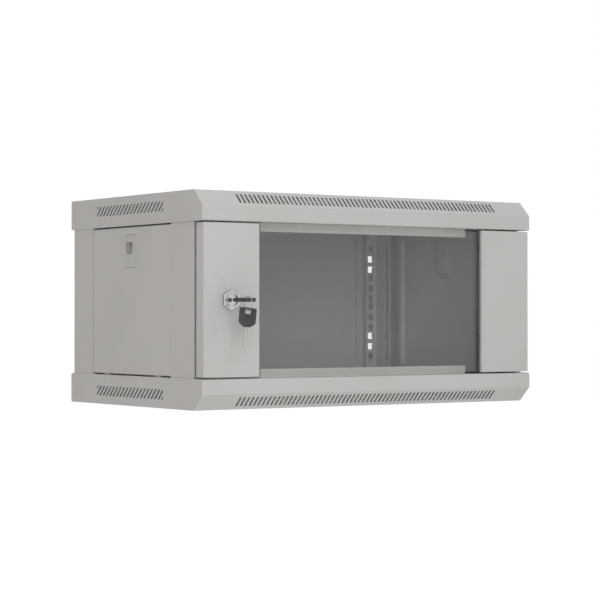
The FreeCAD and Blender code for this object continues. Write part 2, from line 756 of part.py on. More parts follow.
def right_side_panel():
    """Lift-off tray with returns, two bottom tabs and the window of its latch."""
    y0 = OPEN_Y0 + PANEL_SIDE_GAP
    y1 = OPEN_Y1 - PANEL_SIDE_GAP
    x0 = LEDGE_X + PANEL_REST_GAP
    outer = block(x0, FRAME_X, y0, y1, -PANEL_Z, PANEL_Z)
    edges = [e for e in outer.Edges if e.BoundBox.XLength < 0.01 and e.BoundBox.XMin > FRAME_IN]
    outer = outer.makeChamfer(BEND / 2, edges)
    inner = block(x0 - 1, FRAME_IN, y0 + SHEET, y1 - SHEET, -PANEL_Z + SHEET, PANEL_Z - SHEET)
    tray = outer.cut(inner)
    tools = []
    relief = PANEL_CORNER_RELIEF
    for y in (y0, y1):
        for z in (-PANEL_Z, PANEL_Z):
            tools.append(block(x0 - 1, FRAME_IN, y - relief, y + relief, z - relief, z + relief))
    gap = LATCH_WINDOW_GAP
    tools.append(block(FRAME_IN - 1, SIDE, LATCH_Y0 - gap, LATCH_Y1 + gap,
                       LATCH_FACE_BOTTOM - gap, LATCH_FACE_TOP + gap))
    tools.append(bolt_slot(PANEL_Z - 2 * SHEET, PANEL_Z + 1))
    tray = cut(tray, tools)
    tab_x = FRAME_IN - TAB_SETBACK
    tabs = [block(tab_x - SHEET, tab_x, y - TAB_WIDTH / 2, y + TAB_WIDTH / 2,
                  -PANEL_Z - TAB_DROP, -PANEL_Z + SHEET) for y in tab_places()]
    return join(tray, *tabs)


def right_latch_housing():
    """Latch case behind the panel, with its face flush in the panel's window."""
    outline = [(FRAME_IN, LATCH_BOTTOM), (FRAME_IN, LATCH_TOP), (LATCH_IN, LATCH_TOP),
               (LATCH_IN, LATCH_BOTTOM + LATCH_SLOPE)]
    width = point(0, LATCH_WIDTH, 0)
    case = rounded_face(outline, 0, on_xz(LATCH_Y0)).extrude(width)
    face = block(FRAME_IN, FRAME_X, LATCH_Y0, LATCH_Y1, LATCH_FACE_BOTTOM, LATCH_FACE_TOP)
    case = join(case, face)
    wall = LATCH_WALL
    cavity = block(LATCH_IN + wall, FRAME_IN - wall, LATCH_Y0 + wall, LATCH_Y1 - wall,
                   LATCH_FLOOR, LATCH_TOP + 1)
    hole_y1 = LATCH_Y1 - FINGER_HOLE_REAR_RIM
    finger = rounded_block(FRAME_IN - 2 * wall, SIDE, hole_y1 - FINGER_HOLE_WIDTH, hole_y1,
                           FINGER_HOLE_BOTTOM, FINGER_HOLE_BOTTOM + FINGER_HOLE_HEIGHT, 0, "X")
    return cut(case, [cavity, finger])


def right_latch_slide():
    """Sprung slide with the finger pocket and the bolt that enters the frame's lip."""
    play = LATCH_WALL + SLIDE_CLEARANCE
    y0 = LATCH_Y0 + play
    y1 = LATCH_Y1 - play
    top = SLIDE_BOTTOM + SLIDE_HEIGHT
    body = block(SLIDE_X0, SLIDE_X1, y0, y1, SLIDE_BOTTOM, top)
    bolt_top = PANEL_Z - BOLT_SETBACK
    outline = [(-BOLT_WIDTH / 2, top - 1), (BOLT_WIDTH / 2, top - 1),
               (BOLT_WIDTH / 2, bolt_top - 2), (BOLT_WIDTH / 2 - 2, bolt_top),
               (2 - BOLT_WIDTH / 2, bolt_top), (-BOLT_WIDTH / 2, bolt_top - 2)]
    outline = [(LATCH_Y + u, v) for u, v in outline]
    bolt = rounded_face(outline, 0, on_yz(BOLT_X - BOLT_THICK / 2)).extrude(point(BOLT_THICK, 0, 0))
    slide = join(body, bolt)
    pocket_y1 = LATCH_Y1 - FINGER_HOLE_REAR_RIM - 0.4
    ramp = [(SLIDE_X1 + 1, FINGER_HOLE_BOTTOM - 3), (SLIDE_X1 + 1, top - 2),
            (SLIDE_X0 + 2, top - 2), (SLIDE_X0 + 2, top - 6), (SLIDE_X1, FINGER_HOLE_BOTTOM - 3)]
    start = pocket_y1 - FINGER_HOLE_WIDTH + 0.8
    pocket = rounded_face(ramp, 0, on_xz(start)).extrude(point(0, pocket_y1 - start, 0))
    return one_solid(slide.cut(pocket))


def right_latch_spring():
    return spring(2.4, SPRING_WIRE, LATCH_FLOOR, SLIDE_BOTTOM, 4, BOLT_X, LATCH_Y)


# ---------------------------------------------------------------- door

def plain_stile():
    """Folded door stile with end returns, an outer hem and the landing for the glass."""
    back = FRONT + DOOR_DEPTH
    section = [(DOOR_X - STILE_HEM, back), (DOOR_X, back), (DOOR_X, FRONT), (STILE_IN, FRONT),
               (STILE_IN, LANDING_Y), (STILE_IN + STILE_LANDING, LANDING_Y)]
    body = folded_section(section, SHEET, -1, on_xy(-DOOR_Z)).extrude(point(0, 0, 2 * DOOR_Z))
    step = STILE_IN + STILE_LANDING
    outline = [(DOOR_X, back), (step, back), (step, LANDING_Y), (STILE_IN, LANDING_Y),
               (STILE_IN, FRONT), (DOOR_X, FRONT)]
    cap = rounded_face(cut_corners(outline, OUTER_BEND), 0, on_xy(DOOR_Z - SHEET))
    cap = cap.extrude(point(0, 0, SHEET))
    lower = cap.copy()
    lower.translate(point(0, 0, SHEET - 2 * DOOR_Z))
    stile = join(body, cap, lower)
    slots = [retainer_tab(z, NECK_PLAY) for z in retainer_tab_heights()]
    return cut(stile, slots)


def right_stile():
    """Stile of the hinge side, with the holes of the pins."""
    tools = []
    for z in (-DOOR_Z, DOOR_Z):
        radius = PIN_DIAMETER / 2 + PIN_FIT
        tools.append(cylinder(radius, point(HINGE_X, HINGE_Y, z - 2 * SHEET),
                              point(HINGE_X, HINGE_Y, z + 2 * SHEET)))
    return cut(plain_stile(), tools)


def left_stile():
    """Stile of the lock side, with the lock's hole."""
    reach = LOCK_BARREL_RADIUS + LOCK_HOLE_GAP
    flat = LOCK_FLATS / 2 + LOCK_HOLE_GAP
    hole = cylinder(reach, point(LOCK_X, FRONT - 1, 0), point(LOCK_X, FRONT + 2 * SHEET, 0))
    hole = hole.common(block(LOCK_X - flat, LOCK_X + flat, FRONT - 1, FRONT + 2 * SHEET,
                             -reach, reach))
    return one_solid(mirrored(plain_stile()).cut(hole))


def retainer_tab(z, play=0.0):
    """Tab of a retainer, and for a play above 0 the slot that takes it."""
    x = STILE_IN + GLASS_OVERLAP + RETAINER_GAP + RETAINER_FOOT
    half = (RETAINER_TAB_WIDTH + play) / 2
    front = LANDING_Y - (2 * SHEET if play else RETAINER_TAB_REACH)
    return block(x - SHEET - play / 2, x + play / 2, front, LANDING_Y + SHEET / 2, z - half, z + half)


def retainer_tab_heights():
    half = (RETAINER_TABS - 1) / 2
    pitch = 2 * DOOR_Z / (RETAINER_TABS + 0.5)
    return [(i - half) * pitch for i in range(RETAINER_TABS)]


def right_retainer():
    """Folded strip that clamps the glass on the stile's landing."""
    glass_back = GLASS_Y + GLASS_THICK
    foot_x = GLASS_X + RETAINER_GAP
    section = [(foot_x + RETAINER_FOOT, LANDING_Y + SHEET), (foot_x + SHEET, LANDING_Y + SHEET),
               (foot_x + SHEET, glass_back + SHEET), (foot_x - RETAINER_LIP, glass_back + SHEET)]
    height = DOOR_Z - SHEET - GLASS_END_GAP
    strip = sharp_section(section, SHEET, 1, on_xy(-height))
    strip = strip.extrude(point(0, 0, 2 * height))
    return join(strip, *[retainer_tab(z) for z in retainer_tab_heights()])


def door_glass():
    half_z = DOOR_Z - GLASS_END_GAP
    return block(-GLASS_X, GLASS_X, GLASS_Y, GLASS_Y + GLASS_THICK, -half_z, half_z)


def right_gasket():
    half_z = DOOR_Z - GLASS_END_GAP
    x0 = STILE_IN + 2 * BEND
    return block(x0, x0 + GASKET_WIDTH, LANDING_Y, GLASS_Y, -half_z, half_z)


# ---------------------------------------------------------------- hinge

def hinge_bracket():
    """Angle inside the right stile that guides the sprung pin."""
    z = DOOR_Z - BRACKET_DROP
    x1 = DOOR_X - SHEET
    x0 = HINGE_X - BRACKET_WIDTH / 2 + 2
    back = FRONT + DOOR_DEPTH - SHEET
    outline = [(x0, FRONT + SHEET), (x1 - BEND, FRONT + SHEET), (x1, FRONT + SHEET + BEND),
               (x1, back - BEND), (x1 - BEND, back), (x0, back)]
    plate = rounded_face(outline, 0, on_xy(z)).extrude(point(0, 0, SHEET))
    ear = block(x0 + BEND, x1 - BEND, FRONT + SHEET, FRONT + 2 * SHEET, z,
                z + SHEET + BRACKET_DROP / 2)
    bracket = join(plate, ear)
    radius = PIN_DIAMETER / 2 + PIN_FIT
    hole = cylinder(radius, point(HINGE_X, HINGE_Y, z - 1), point(HINGE_X, HINGE_Y, z + 2 * SHEET))
    return cut(bracket, [hole])


def upper_hinge_pin():
    """Pin with a square shoulder for its spring, and a finger lever across its end."""
    top = EDGE + SHEET + PIN_ENTRY
    low = DOOR_Z - BRACKET_DROP - LEVER_DROP
    radius = PIN_DIAMETER / 2
    pin = cylinder(radius, point(HINGE_X, HINGE_Y, low - radius), point(HINGE_X, HINGE_Y, top))
    lever = cylinder(radius * 0.8, point(HINGE_X, HINGE_Y, low), point(HINGE_X - LEVER_LENGTH, HINGE_Y, low))
    half = SHOULDER_SIZE / 2
    z = shoulder_height()
    shoulder = block(HINGE_X - half, HINGE_X + half, HINGE_Y - half, HINGE_Y + half,
                     z, z + SHOULDER_THICK)
    return join(pin, lever, shoulder)


def shoulder_height():
    return DOOR_Z - SHEET - SHOULDER_THICK - WASHER_GAP


def pin_spring():
    z0 = DOOR_Z - BRACKET_DROP + SHEET
    radius = PIN_DIAMETER / 2 + SPRING_WIRE + 0.3
    return spring(radius, SPRING_WIRE, z0, shoulder_height(), 5, HINGE_X, HINGE_Y)


def lower_hinge_pin():
    radius = PIN_DIAMETER / 2
    seat = -DOOR_Z + SHEET
    low = -EDGE - SHEET - PIN_ENTRY
    shank = cylinder(radius, point(HINGE_X, HINGE_Y, low), point(HINGE_X, HINGE_Y, seat))
    half = PIN_HEAD / 2
    head = block(HINGE_X - half, HINGE_X + half, HINGE_Y - half, HINGE_Y + half,
                 seat, seat + PIN_HEAD_HEIGHT)
    return join(shank, head)


def hinge_washer():
    """Nylon washer between the bottom of the door and the cover's lip."""
    thick = DOOR_END_GAP - WASHER_GAP
    z = -DOOR_Z - thick
    disc = Part.makeCylinder(WASHER_RADIUS, thick, point(HINGE_X, HINGE_Y, z))
    bore = Part.makeCylinder(PIN_DIAMETER / 2, thick * 3, point(HINGE_X, HINGE_Y, z - 1))
    return one_solid(disc.cut(bore))


# ---------------------------------------------------------------- lock

def lock_body():
    """Chromed lock case: hexagonal bezel, double-D barrel and the bore of the plug."""
    face = FRONT - LOCK_BEZEL
    bezel = hexagon(LOCK_HEX, LOCK_BEZEL, True)
    rim = [e for e in bezel.Edges if e.BoundBox.ZMin > LOCK_BEZEL / 2]
    bezel = placed(bezel.makeChamfer(LOCK_BEZEL / 4, rim), point(LOCK_X, FRONT, 0), point(0, -1, 0))
    end = FRONT + LOCK_BARREL_LENGTH
    barrel = cylinder(LOCK_BARREL_RADIUS, point(LOCK_X, FRONT, 0), point(LOCK_X, end, 0))
    flat = LOCK_FLATS / 2
    barrel = barrel.common(block(LOCK_X - flat, LOCK_X + flat, FRONT, end,
                                 -LOCK_BARREL_RADIUS, LOCK_BARREL_RADIUS))
    bore = cylinder(PLUG_RADIUS + PLUG_FIT, point(LOCK_X, face - 1, 0), point(LOCK_X, end + 1, 0))
    return cut(join(bezel, barrel), [bore])


def lock_clip():
    """Spring clip pushed over the flats of the lock case, behind the stile's sheet."""
    half = CLIP_SIZE / 2
    flat = LOCK_FLATS / 2
    roof = LOCK_BARREL_RADIUS
    outline = [(-half, -half), (-flat, -half), (-flat, roof), (flat, roof), (flat, -half),
               (half, -half), (half, half), (-half, half)]
    outline = [(LOCK_X + u, v) for u, v in outline]
    return rounded_face(outline, 0, on_xz(FRONT + SHEET)).extrude(point(0, CLIP_THICK, 0))


def lock_plug():
    """Plug with the keyway and the square that drives the cam."""
    face = FRONT - LOCK_BEZEL
    end = CAM_Y - PLUG_FIT
    body = cylinder(PLUG_RADIUS, point(LOCK_X, face + PLUG_SETBACK, 0), point(LOCK_X, end, 0))
    half = CAM_SQUARE / 2
    square = block(LOCK_X - half, LOCK_X + half, end, CAM_Y + CAM_THICK, -half, half)
    keyway = block(LOCK_X - KEYWAY_WIDTH / 2, LOCK_X + KEYWAY_WIDTH / 2, face - 1,
                   face + KEYWAY_DEPTH, -KEYWAY_THICK / 2, KEYWAY_THICK / 2)
    return cut(join(body, square), [keyway])


def lock_cam():
    """Cam plate, hanging down when the door is unlocked."""
    wide = LOCK_BARREL_RADIUS - 1
    narrow = wide * 0.7
    outline = [(LOCK_X - wide, wide), (LOCK_X + wide, wide), (LOCK_X + wide, -wide),
               (LOCK_X + narrow, -CAM_LENGTH), (LOCK_X - narrow, -CAM_LENGTH), (LOCK_X - wide, -wide)]
    plate = rounded_face(outline, 0, on_xz(CAM_Y)).extrude(point(0, CAM_THICK, 0))
    half = CAM_SQUARE / 2
    hole = block(LOCK_X - half, LOCK_X + half, CAM_Y - 1, CAM_Y + CAM_THICK + 1, -half, half)
    return cut(plate, [hole])


def cam_screw():
    """Hexagon head that clamps the cam on the plug."""
    return placed(hexagon(CAM_SCREW, CAM_SCREW_HEAD), point(LOCK_X, CAM_Y + CAM_THICK, 0), AXIS_Y)


# ---------------------------------------------------------------- keys

def key_bow():
    """Moulded bow in the XZ plane: blade side at z = 0, top at z = BOW_LENGTH."""
    half = BOW_WIDTH / 2
    nose = half * 0.36
    outline = [(-nose, 0), (nose, 0), (half, BOW_SHOULDER), (half, BOW_LENGTH),
               (-half, BOW_LENGTH), (-half, BOW_SHOULDER)]
    bow = rounded_face(outline, 1.6, on_xz(-BOW_THICK / 2)).extrude(point(0, BOW_THICK, 0))
    z = BOW_LENGTH - BOW_HOLE_FROM_END
    half_z = BOW_HOLE_HEIGHT / 2
    hole = rounded_block(-BOW_HOLE_WIDTH / 2, BOW_HOLE_WIDTH / 2, -BOW_THICK, BOW_THICK,
                         z - half_z, z + half_z, 0, "Y")
    return cut(bow, [hole])


def key_blade():
    """Steel blade below the bow, with a shoulder and cuts along one edge."""
    half = BLADE_WIDTH / 2
    tip = -BLADE_LENGTH
    edge = [(-half - 1, 0), (-half - 1, -1.5), (-half, -1.5)]
    bites = 3
    pitch = (BLADE_LENGTH - 7) / bites
    for i in range(bites):
        z = -4 - i * pitch
        depth = 1.0 + 0.6 * (i % 2)
        edge += [(-half, z), (-half + depth, z - pitch * 0.35), (-half + depth, z - pitch * 0.5)]
    outline = edge + [(-half, tip + 3), (-0.8, tip), (0.8, tip), (half, tip + 3), (half, -1.5),
                      (half + 1, -1.5), (half + 1, 0)]
    face = rounded_face(outline, 0, on_xz(-BLADE_THICK / 2))
    blade = face.extrude(point(0, BLADE_THICK, 0))
    groove = block(-0.2, 1.2, BLADE_THICK / 2 - 0.4, BLADE_THICK, tip + 3, -2.5)
    return cut(blade, [groove])


def as_inserted(shape):
    """Key turned from hanging to lying flat in the lock, its bow towards the front."""
    copy = shape.copy()
    copy.rotate(ORIGIN, AXIS_X, 90)
    copy.translate(point(LOCK_X, FRONT - BOW_FROM_FACE, 0))
    return copy


def ring_centre():
    slope = math.radians(RING_HANG)
    hole_y = FRONT - BOW_FROM_FACE - BOW_LENGTH + BOW_HOLE_FROM_END + RING_SETBACK
    return point(LOCK_X - RING_OFFSET, hole_y - RING_RADIUS * math.cos(slope),
                 -RING_RADIUS * math.sin(slope))


def key_ring():
    """Flat ring, its hole and rim turned square."""
    half = RING_WIRE / 2
    centre = ring_centre()
    start = centre.sub(point(half, 0, 0))
    disc = Part.makeCylinder(RING_RADIUS + half, RING_WIRE, start, AXIS_X)
    hole = Part.makeCylinder(RING_RADIUS - half, 3 * RING_WIRE, start.sub(point(half, 0, 0)), AXIS_X)
    return one_solid(disc.cut(hole))


def as_hung(shape):
    """Key hung by its bow's hole on the lowest point of the ring."""
    copy = shape.copy()
    centre = ring_centre()
    low = centre.z - RING_RADIUS
    hole = BOW_LENGTH - BOW_HOLE_FROM_END
    play = (BOW_HOLE_HEIGHT - RING_WIRE) / 2 - RING_PLAY
    copy.translate(point(centre.x, centre.y, low - play - hole))
    copy.rotate(point(centre.x, centre.y, low), AXIS_Y, HUNG_KEY_LEAN)
    return copy


# ---------------------------------------------------------------- fasteners


def rail_bolts_and_nuts():
    """Bolts whose square necks fill the rails' holes, with their nuts in the channels."""
    bolts = []
    nuts = []
    head_x = RAIL_X - RAIL_SHEET
    nut_x = RAIL_X + CHANNEL_SHEET
    half = M6 / 2
    for y in (front_rail_bolt_y(), rear_rail_bolt_y()):
        for z in (-CHANNEL_Z, CHANNEL_Z):
            head = placed(hexagon(M6_HEX, M6_HEAD_HEIGHT), point(head_x, y, z), point(-1, 0, 0))
            neck = block(head_x, nut_x, y - half, y + half, z - half, z + half)
            bolt = join(head, neck)
            hex_nut = placed(hexagon(M6_HEX, M6_NUT_HEIGHT), point(nut_x, y, z), AXIS_X)
            bolts += [bolt, mirrored(bolt)]
            nuts += [hex_nut, mirrored(hex_nut)]
    return bolts, nuts


# ---------------------------------------------------------------- assembly

def add(name, shape):
    parts[name] = shape


def add_pair(name, right):
    """A right-hand piece and its mirror image, as right_NAME and left_NAME."""
    add("right_" + name, right)
    add("left_" + name, mirrored(right))


def build_carcass():
    cover = bottom_cover()
    add("bottom_cover", with_hinge_hole(cover))
    add("top_cover", with_hinge_hole(turned_over(cover)))
    add_pair("side_frame", right_side_frame())
    add_pair("keeper_strip", right_keeper_strip())
    add("back_panel", back_panel())
    upper = upper_right_channel()
    lower = upper.mirror(ORIGIN, AXIS_Z)
    add("upper_right_channel", upper)
    add("upper_left_channel", mirrored(upper))
    add("lower_right_channel", lower)
    add("lower_left_channel", mirrored(lower))
    front = right_rail(FRONT + FRONT_RAIL_FACE, 1)
    rear = right_rail(-REAR_RAIL_FACE, -1)
    add("front_right_rail", front)
    add("front_left_rail", mirrored(front))
    add("rear_right_rail", rear)
    add("rear_left_rail", mirrored(rear))
    bolts, nuts = rail_bolts_and_nuts()
    add("rail_bolts", Part.makeCompound(bolts))
    add("rail_nuts", Part.makeCompound(nuts))


def build_side_panels():
    add_pair("side_panel", right_side_panel())
    add_pair("latch_housing", right_latch_housing())
    add_pair("latch_slide", right_latch_slide())
    add_pair("latch_spring", right_latch_spring())


def build_door():
    add("door_right_stile", right_stile())
    add("door_left_stile", left_stile())
    add("door_glass", door_glass())
    gasket = right_gasket()
    add("glass_gaskets", Part.makeCompound([gasket, mirrored(gasket)]))
    add_pair("glass_retainer", right_retainer())
    add("upper_hinge_bracket", hinge_bracket())
    add("upper_hinge_pin", upper_hinge_pin())
    add("hinge_pin_spring", pin_spring())
    add("lower_hinge_pin", lower_hinge_pin())
    add("hinge_washer", hinge_washer())


def build_lock_and_keys():
    add("lock_body", lock_body())
    add("lock_clip", lock_clip())
    add("lock_plug", lock_plug())
    add("lock_cam", lock_cam())
    add("cam_screw", cam_screw())
    bow = key_bow()
    blade = key_blade()
    add("inserted_key_bow", as_inserted(bow))
    add("inserted_key_blade", as_inserted(blade))
    add("key_ring", key_ring())
    add("hung_key_bow", as_hung(bow))
    add("hung_key_blade", as_hung(blade))


build_carcass()
build_side_panels()
build_door()
build_lock_and_keys()

os.makedirs("parts", exist_ok=True)
for name, shape in parts.items():
    shape.exportStep("parts/" + name + ".step")
print("wrote", len(parts), "nodes")
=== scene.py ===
import json
from math import pi, radians

import bpy
from mathutils import Matrix, Vector

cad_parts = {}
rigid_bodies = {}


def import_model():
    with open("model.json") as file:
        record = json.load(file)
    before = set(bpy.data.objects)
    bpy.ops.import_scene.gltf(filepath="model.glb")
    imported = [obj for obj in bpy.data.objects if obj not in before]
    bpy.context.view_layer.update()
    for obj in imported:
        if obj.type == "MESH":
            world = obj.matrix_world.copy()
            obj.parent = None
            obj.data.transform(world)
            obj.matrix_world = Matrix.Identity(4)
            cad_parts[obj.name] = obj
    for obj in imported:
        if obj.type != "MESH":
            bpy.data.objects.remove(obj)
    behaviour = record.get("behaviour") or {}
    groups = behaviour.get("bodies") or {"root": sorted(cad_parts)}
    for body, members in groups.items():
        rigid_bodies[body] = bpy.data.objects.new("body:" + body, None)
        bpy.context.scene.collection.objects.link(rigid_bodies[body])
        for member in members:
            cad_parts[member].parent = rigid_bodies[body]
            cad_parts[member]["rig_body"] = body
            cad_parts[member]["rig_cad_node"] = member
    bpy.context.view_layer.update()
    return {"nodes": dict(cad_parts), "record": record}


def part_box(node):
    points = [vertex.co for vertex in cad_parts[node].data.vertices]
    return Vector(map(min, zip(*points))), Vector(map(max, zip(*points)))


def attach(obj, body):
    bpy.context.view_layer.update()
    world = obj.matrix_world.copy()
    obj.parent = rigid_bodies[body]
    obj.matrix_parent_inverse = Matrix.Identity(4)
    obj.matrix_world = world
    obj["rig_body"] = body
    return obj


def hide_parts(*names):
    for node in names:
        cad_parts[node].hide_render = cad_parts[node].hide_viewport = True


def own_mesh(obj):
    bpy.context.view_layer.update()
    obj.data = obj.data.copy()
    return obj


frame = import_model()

nodes = frame["nodes"]
mm = 0.001
tiny = 1e-6  # metres, below which two places count as one
facing = 0.9  # from here on a face's normal counts as along the axis
nodeSmooth = 25  # degrees, up to which the shading runs over an edge
pieceSmooth = 28


def newMaterial(name):
    material = bpy.data.materials.new(name)
    material.use_nodes = True
    tree = material.node_tree
    shader = tree.nodes["Principled BSDF"]
    coords = tree.nodes.new("ShaderNodeTexCoord")
    return material, tree, shader, coords


def noiseNode(tree, coords, scale, detail=3.0, stretch=None):
    noise = tree.nodes.new("ShaderNodeTexNoise")
    noise.inputs["Scale"].default_value = scale
    noise.inputs["Detail"].default_value = detail
    source = coords.outputs["Object"]
    if stretch:  # drawn or brushed grain along one axis
        mapping = tree.nodes.new("ShaderNodeMapping")
        mapping.inputs["Scale"].default_value = stretch
        tree.links.new(source, mapping.inputs["Vector"])
        source = mapping.outputs["Vector"]
    tree.links.new(source, noise.inputs["Vector"])
    return noise


def ramp(tree, source, low, high, lowAt=0.35, highAt=0.65):
    node = tree.nodes.new("ShaderNodeValToRGB")
    node.color_ramp.elements[0].position = lowAt
    node.color_ramp.elements[0].color = low
    node.color_ramp.elements[1].position = highAt
    node.color_ramp.elements[1].color = high
    tree.links.new(source, node.inputs["Fac"])
    return node


def mixColours(tree, amount, first, second):
    node = tree.nodes.new("ShaderNodeMix")
    node.data_type = "RGBA"
    node.inputs["Factor"].default_value = amount
    tree.links.new(first, node.inputs[6])  # the colour sockets of this node
    tree.links.new(second, node.inputs[7])
    return node.outputs[2]


def rangeNode(tree, source, low, high, fromLow=0.3, fromHigh=0.7):
    node = tree.nodes.new("ShaderNodeMapRange")
    node.inputs["From Min"].default_value = fromLow
    node.inputs["From Max"].default_value = fromHigh
    node.inputs["To Min"].default_value = low
    node.inputs["To Max"].default_value = high
    tree.links.new(source, node.inputs["Value"])
    return node.outputs["Result"]


def bumpNode(tree, shader, height, strength, distance):
    bump = tree.nodes.new("ShaderNodeBump")
    bump.inputs["Strength"].default_value = strength
    bump.inputs["Distance"].default_value = distance
    tree.links.new(height, bump.inputs["Height"])
    tree.links.new(bump.outputs["Normal"], shader.inputs["Normal"])


def srgb(red, green, blue):  # colours are written as they look, 0 to 255
    def linear(value):
        value = value / 255
        return value / 12.92 if value <= 0.04045 else ((value + 0.055) / 1.055) ** 2.4
    return (linear(red), linear(green), linear(blue), 1.0)


powderCoat = {
    "colour": (189, 187, 186),
    "paler": (192, 190, 189),
    "darker": (186, 184, 182),
    "roughness": (0.46, 0.56),
    "grainScale": 900.0,      # fine orange peel, about a millimetre across
    "cloudScale": 9.0,        # slow change of tone over the sheet
    "speckRatio": 2.6,        # specks are this much finer than the grain
    "speckShare": 0.45,
    "bump": 0.08,
    "bumpDeep": 0.0004,
    "specular": 0.32,
}


def makePowderCoat(name, spec):
    material, tree, shader, coords = newMaterial(name)
    cloud = noiseNode(tree, coords, spec["cloudScale"], 2.0)
    grain = noiseNode(tree, coords, spec["grainScale"], 2.0)
    speck = noiseNode(tree, coords, spec["grainScale"] * spec["speckRatio"], 1.0)
    tone = ramp(tree, cloud.outputs["Fac"], srgb(*spec["darker"]), srgb(*spec["paler"]))
    fleck = ramp(tree, speck.outputs["Fac"], srgb(*spec["darker"]), srgb(*spec["colour"]),
                 0.3, 0.5)
    colour = mixColours(tree, spec["speckShare"], tone.outputs["Color"], fleck.outputs["Color"])
    tree.links.new(colour, shader.inputs["Base Color"])
    tree.links.new(rangeNode(tree, grain.outputs["Fac"], *spec["roughness"]),
                   shader.inputs["Roughness"])
    shader.inputs["Specular IOR Level"].default_value = spec["specular"]
    bumpNode(tree, shader, grain.outputs["Fac"], spec["bump"], spec["bumpDeep"])
    return material


zincPlate = {
    "colour": (192, 194, 197), "darker": (168, 170, 174),
    "roughness": (0.24, 0.38), "scale": 260.0,
}
galvanised = {
    "colour": (178, 181, 184), "darker": (150, 153, 157),
    "roughness": (0.34, 0.52), "spangle": 160.0,
}
chromePlate = {
    "colour": (196, 196, 198), "darker": (182, 182, 184),
    "roughness": (0.10, 0.17), "scale": 45.0,
}
keySteel = {
    "colour": (186, 184, 180), "darker": (140, 138, 134),
    "roughness": (0.2, 0.34), "scale": 420.0,
}
springSteel = {
    "colour": (150, 152, 156), "darker": (120, 122, 126),
    "roughness": (0.25, 0.4), "scale": 500.0,
}
metalCloud = 35.0  # slow change of tone over plated metal
metalBumpDeep = 0.0002


def makePlatedMetal(name, spec, stretch=None, bump=0.05):
    material, tree, shader, coords = newMaterial(name)
    grain = noiseNode(tree, coords, spec["scale"], 3.0, stretch)
    cloud = noiseNode(tree, coords, metalCloud, 2.0)
    tone = ramp(tree, cloud.outputs["Fac"], srgb(*spec["darker"]), srgb(*spec["colour"]), 0.3, 0.6)
    tree.links.new(tone.outputs["Color"], shader.inputs["Base Color"])
    shader.inputs["Metallic"].default_value = 1.0
    tree.links.new(rangeNode(tree, grain.outputs["Fac"], *spec["roughness"]),
                   shader.inputs["Roughness"])
    bumpNode(tree, shader, grain.outputs["Fac"], bump, metalBumpDeep)
    return material


def makeGalvanised(name, spec):  # crystals of the zinc show as facets of different tone
    material, tree, shader, coords = newMaterial(name)
    cells = tree.nodes.new("ShaderNodeTexVoronoi")
    cells.inputs["Scale"].default_value = spec["spangle"]
    tree.links.new(coords.outputs["Object"], cells.inputs["Vector"])
    split = tree.nodes.new("ShaderNodeSeparateColor")
    tree.links.new(cells.outputs["Color"], split.inputs["Color"])
    tone = ramp(tree, split.outputs["Red"], srgb(*spec["darker"]), srgb(*spec["colour"]), 0.1, 0.9)
    tree.links.new(tone.outputs["Color"], shader.inputs["Base Color"])
    shader.inputs["Metallic"].default_value = 1.0
    tree.links.new(rangeNode(tree, split.outputs["Green"], *spec["roughness"], 0.0, 1.0),
                   shader.inputs["Roughness"])
    return material


latchPlastic = {
    "colour": (181, 179, 176), "darker": (175, 173, 170),
    "roughness": (0.36, 0.46), "scale": 1100.0,
}
keyPlastic = {
    "colour": (50, 49, 49), "darker": (42, 41, 41),
    "roughness": (0.26, 0.38), "scale": 900.0,
}
nylon = {
    "colour": (232, 231, 226), "darker": (224, 222, 215),
    "roughness": (0.38, 0.48), "scale": 500.0,
}
foamTape = {
    "colour": (30, 30, 30), "darker": (20, 20, 20),
    "roughness": (0.85, 0.95), "scale": 1500.0,
}
plasticCloud = 60.0
plasticBumpDeep = 0.0003


def makePlastic(name, spec, bump=0.08, specular=0.5):
    material, tree, shader, coords = newMaterial(name)
    grain = noiseNode(tree, coords, spec["scale"], 2.0)
    cloud = noiseNode(tree, coords, plasticCloud, 2.0)
    tone = ramp(tree, cloud.outputs["Fac"], srgb(*spec["darker"]), srgb(*spec["colour"]))
    tree.links.new(tone.outputs["Color"], shader.inputs["Base Color"])
    tree.links.new(rangeNode(tree, grain.outputs["Fac"], *spec["roughness"]),
                   shader.inputs["Roughness"])
    shader.inputs["Specular IOR Level"].default_value = specular
    bumpNode(tree, shader, grain.outputs["Fac"], bump, plasticBumpDeep)
    return material


doorGlass = {
    "tint": (233, 233, 232), "palest": (235, 235, 234), "clear": (250, 250, 249),
    "roughness": 0.0, "ior": 1.45, "ripple": 3.0,
}


def makeGlass(name, spec):  # clear to light, so that the bay behind it is lit as through real glass
    material, tree, shader, coords = newMaterial(name)
    ripple = noiseNode(tree, coords, spec["ripple"], 1.0)
    tone = ramp(tree, ripple.outputs["Fac"], srgb(*spec["tint"]), srgb(*spec["palest"]))
    tree.links.new(tone.outputs["Color"], shader.inputs["Base Color"])
    shader.inputs["Roughness"].default_value = spec["roughness"]
    shader.inputs["IOR"].default_value = spec["ior"]
    shader.inputs["Transmission Weight"].default_value = 1.0
    clear = tree.nodes.new("ShaderNodeBsdfTransparent")
    clear.inputs["Color"].default_value = srgb(*spec["clear"])
    path = tree.nodes.new("ShaderNodeLightPath")
    either = tree.nodes.new("ShaderNodeMath")
    either.operation = "MAXIMUM"
    tree.links.new(path.outputs["Is Shadow Ray"], either.inputs[0])
    tree.links.new(path.outputs["Is Diffuse Ray"], either.inputs[1])
    mix = tree.nodes.new("ShaderNodeMixShader")
    tree.links.new(either.outputs["Value"], mix.inputs["Fac"])
    tree.links.new(shader.outputs["BSDF"], mix.inputs[1])
    tree.links.new(clear.outputs["BSDF"], mix.inputs[2])
    tree.links.new(mix.outputs["Shader"], tree.nodes["Material Output"].inputs["Surface"])
    return material


